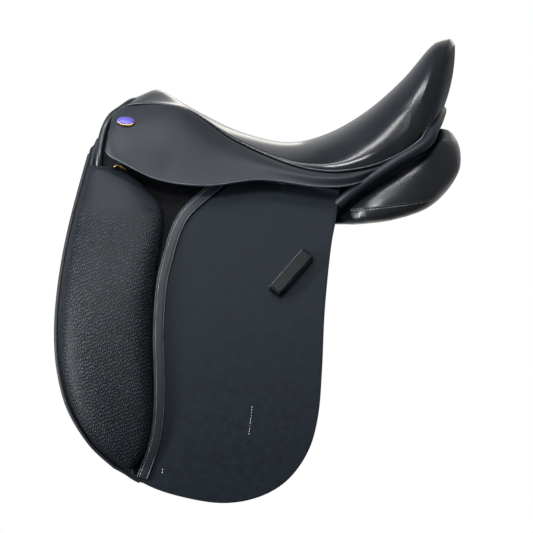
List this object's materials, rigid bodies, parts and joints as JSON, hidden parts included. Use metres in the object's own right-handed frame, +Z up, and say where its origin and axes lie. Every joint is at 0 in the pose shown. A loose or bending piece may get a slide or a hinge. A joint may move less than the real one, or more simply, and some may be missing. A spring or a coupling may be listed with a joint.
{
  "type": "dressage saddle",
  "caption": "Deep-seated leather dressage saddle with straight flaps, outside knee blocks, lifting skirts and flaps, girth straps, stirrup bars with catches and flocked panels.",
  "frame": {"origin": "on the middle plane under the lowest point of the seat, level with the bearing line of the panels", "axes": "+X from pommel to cantle, -Y to the near (left) side, +Z up"},
  "size_m": [0.5318, 0.5058, 0.6065],
  "materials": {
    "seat_leather": "semi-gloss",
    "skirt_leather": "satin",
    "flap_leather": "matte",
    "grain_leather": "pebbled satin",
    "panel_leather": "satin",
    "trim_leather": "satin",
    "strap_leather": "waxed",
    "brass": "polished",
    "blue_enamel": "gloss",
    "steel": "forged, polished",
    "beech": "laminated, sealed",
    "webbing": "woven",
    "foam": "latex foam"
  },
  "bodies": {
    "root": {"tree_head": "beech", "tree_rail_left": "beech", "tree_rail_right": "beech", "tree_cantle": "beech", "tree_point_left": "beech", "tree_point_right": "beech", "gullet_plate": "steel", "gullet_rivets": "steel", "spring_left": "steel", "spring_right": "steel", "seat_web_long": "webbing", "seat_web_cross": "webbing", "seat_foam": "foam", "seat_cover": "seat_leather", "welt_left": "trim_leather", "welt_right": "trim_leather", "front_facing": "panel_leather", "rear_facing": "panel_leather", "skirt_left": "skirt_leather", "skirt_right": "skirt_leather", "button_stud_left": "brass", "button_stud_right": "brass", "button_cap_left": "blue_enamel", "button_cap_right": "blue_enamel", "flap_head_left": "flap_leather", "flap_head_right": "flap_leather", "sweat_flap_left": "panel_leather", "sweat_flap_right": "panel_leather", "panel_left": "panel_leather", "panel_right": "panel_leather", "panel_roll": "panel_leather", "stirrup_bar_left": "steel", "stirrup_bar_right": "steel", "catch_pins": "steel", "bar_rivets": "steel", "girth_webs_left": "webbing", "girth_webs_right": "webbing", "dee_chape_left": "trim_leather", "dee_chape_right": "trim_leather"},
    "skirt_left": {"skirt_leaf_left": "skirt_leather"},
    "skirt_right": {"skirt_leaf_right": "skirt_leather"},
    "flap_left": {"flap_left": "flap_leather", "knee_block_left": "grain_leather", "binding_strip_left": "trim_leather", "keeper_left": "trim_leather", "strap_loop_left": "trim_leather"},
    "flap_right": {"flap_right": "flap_leather", "knee_block_right": "grain_leather", "binding_strip_right": "trim_leather", "keeper_right": "trim_leather", "strap_loop_right": "trim_leather"},
    "catch_left": {"bar_catch_left": "steel"},
    "catch_right": {"bar_catch_right": "steel"},
    "strap_front_left": {"girth_strap_front_left": "strap_leather"},
    "strap_front_right": {"girth_strap_front_right": "strap_leather"},
    "strap_rear_left": {"girth_strap_rear_left": "strap_leather"},
    "strap_rear_right": {"girth_strap_rear_right": "strap_leather"},
    "dee_left": {"dee_left": "brass"},
    "dee_right": {"dee_right": "brass"}
  },
  "joints": [
    {"name": "flap_lift_left", "type": "hinge", "parent": "root", "child": "flap_left", "pos_m": [-0.09307, -0.10613, 0.06118], "axis": [-0.9932, 0.062, 0.099], "range_deg": [0, 30]},
    {"name": "skirt_lift_left", "type": "hinge", "parent": "root", "child": "skirt_left", "pos_m": [-0.14105, -0.13163, 0.08678], "axis": [-0.9555, 0.1481, 0.2553], "range_deg": [0, 60]},
    {"name": "catch_lift_left", "type": "hinge", "parent": "root", "child": "catch_left", "pos_m": [-0.1016, -0.10193, 0.08959], "axis": [0, -0.8321, 0.5546], "range_deg": [0, 65]},
    {"name": "strap_front_swing_left", "type": "hinge", "parent": "root", "child": "strap_front_left", "pos_m": [-0.08503, -0.10854, 0.036], "axis": [0, -0.8604, 0.5096], "range_deg": [-4, 4]},
    {"name": "strap_rear_swing_left", "type": "hinge", "parent": "root", "child": "strap_rear_left", "pos_m": [-0.0153, -0.10854, 0.036], "axis": [0, -0.8604, 0.5096], "range_deg": [-4, 4]},
    {"name": "dee_swing_left", "type": "hinge", "parent": "root", "child": "dee_left", "pos_m": [-0.2209, -0.09356, 0.059], "axis": [1, 0, 0], "range_deg": [0, 10]},
    {"name": "flap_lift_right", "type": "hinge", "parent": "root", "child": "flap_right", "pos_m": [-0.09307, 0.10613, 0.06118], "axis": [0.9932, 0.062, -0.099], "range_deg": [0, 30]},
    {"name": "skirt_lift_right", "type": "hinge", "parent": "root", "child": "skirt_right", "pos_m": [-0.14105, 0.13163, 0.08678], "axis": [0.9555, 0.1481, -0.2553], "range_deg": [0, 60]},
    {"name": "catch_lift_right", "type": "hinge", "parent": "root", "child": "catch_right", "pos_m": [-0.1016, 0.10193, 0.08959], "axis": [0, -0.8321, -0.5546], "range_deg": [0, 65]},
    {"name": "strap_front_swing_right", "type": "hinge", "parent": "root", "child": "strap_front_right", "pos_m": [-0.08503, 0.10854, 0.036], "axis": [0, 0.8604, 0.5096], "range_deg": [-4, 4]},
    {"name": "strap_rear_swing_right", "type": "hinge", "parent": "root", "child": "strap_rear_right", "pos_m": [-0.0153, 0.10854, 0.036], "axis": [0, 0.8604, 0.5096], "range_deg": [-4, 4]},
    {"name": "dee_swing_right", "type": "hinge", "parent": "root", "child": "dee_right", "pos_m": [-0.2209, 0.09356, 0.059], "axis": [-1, 0, 0], "range_deg": [0, 10]}
  ]
}
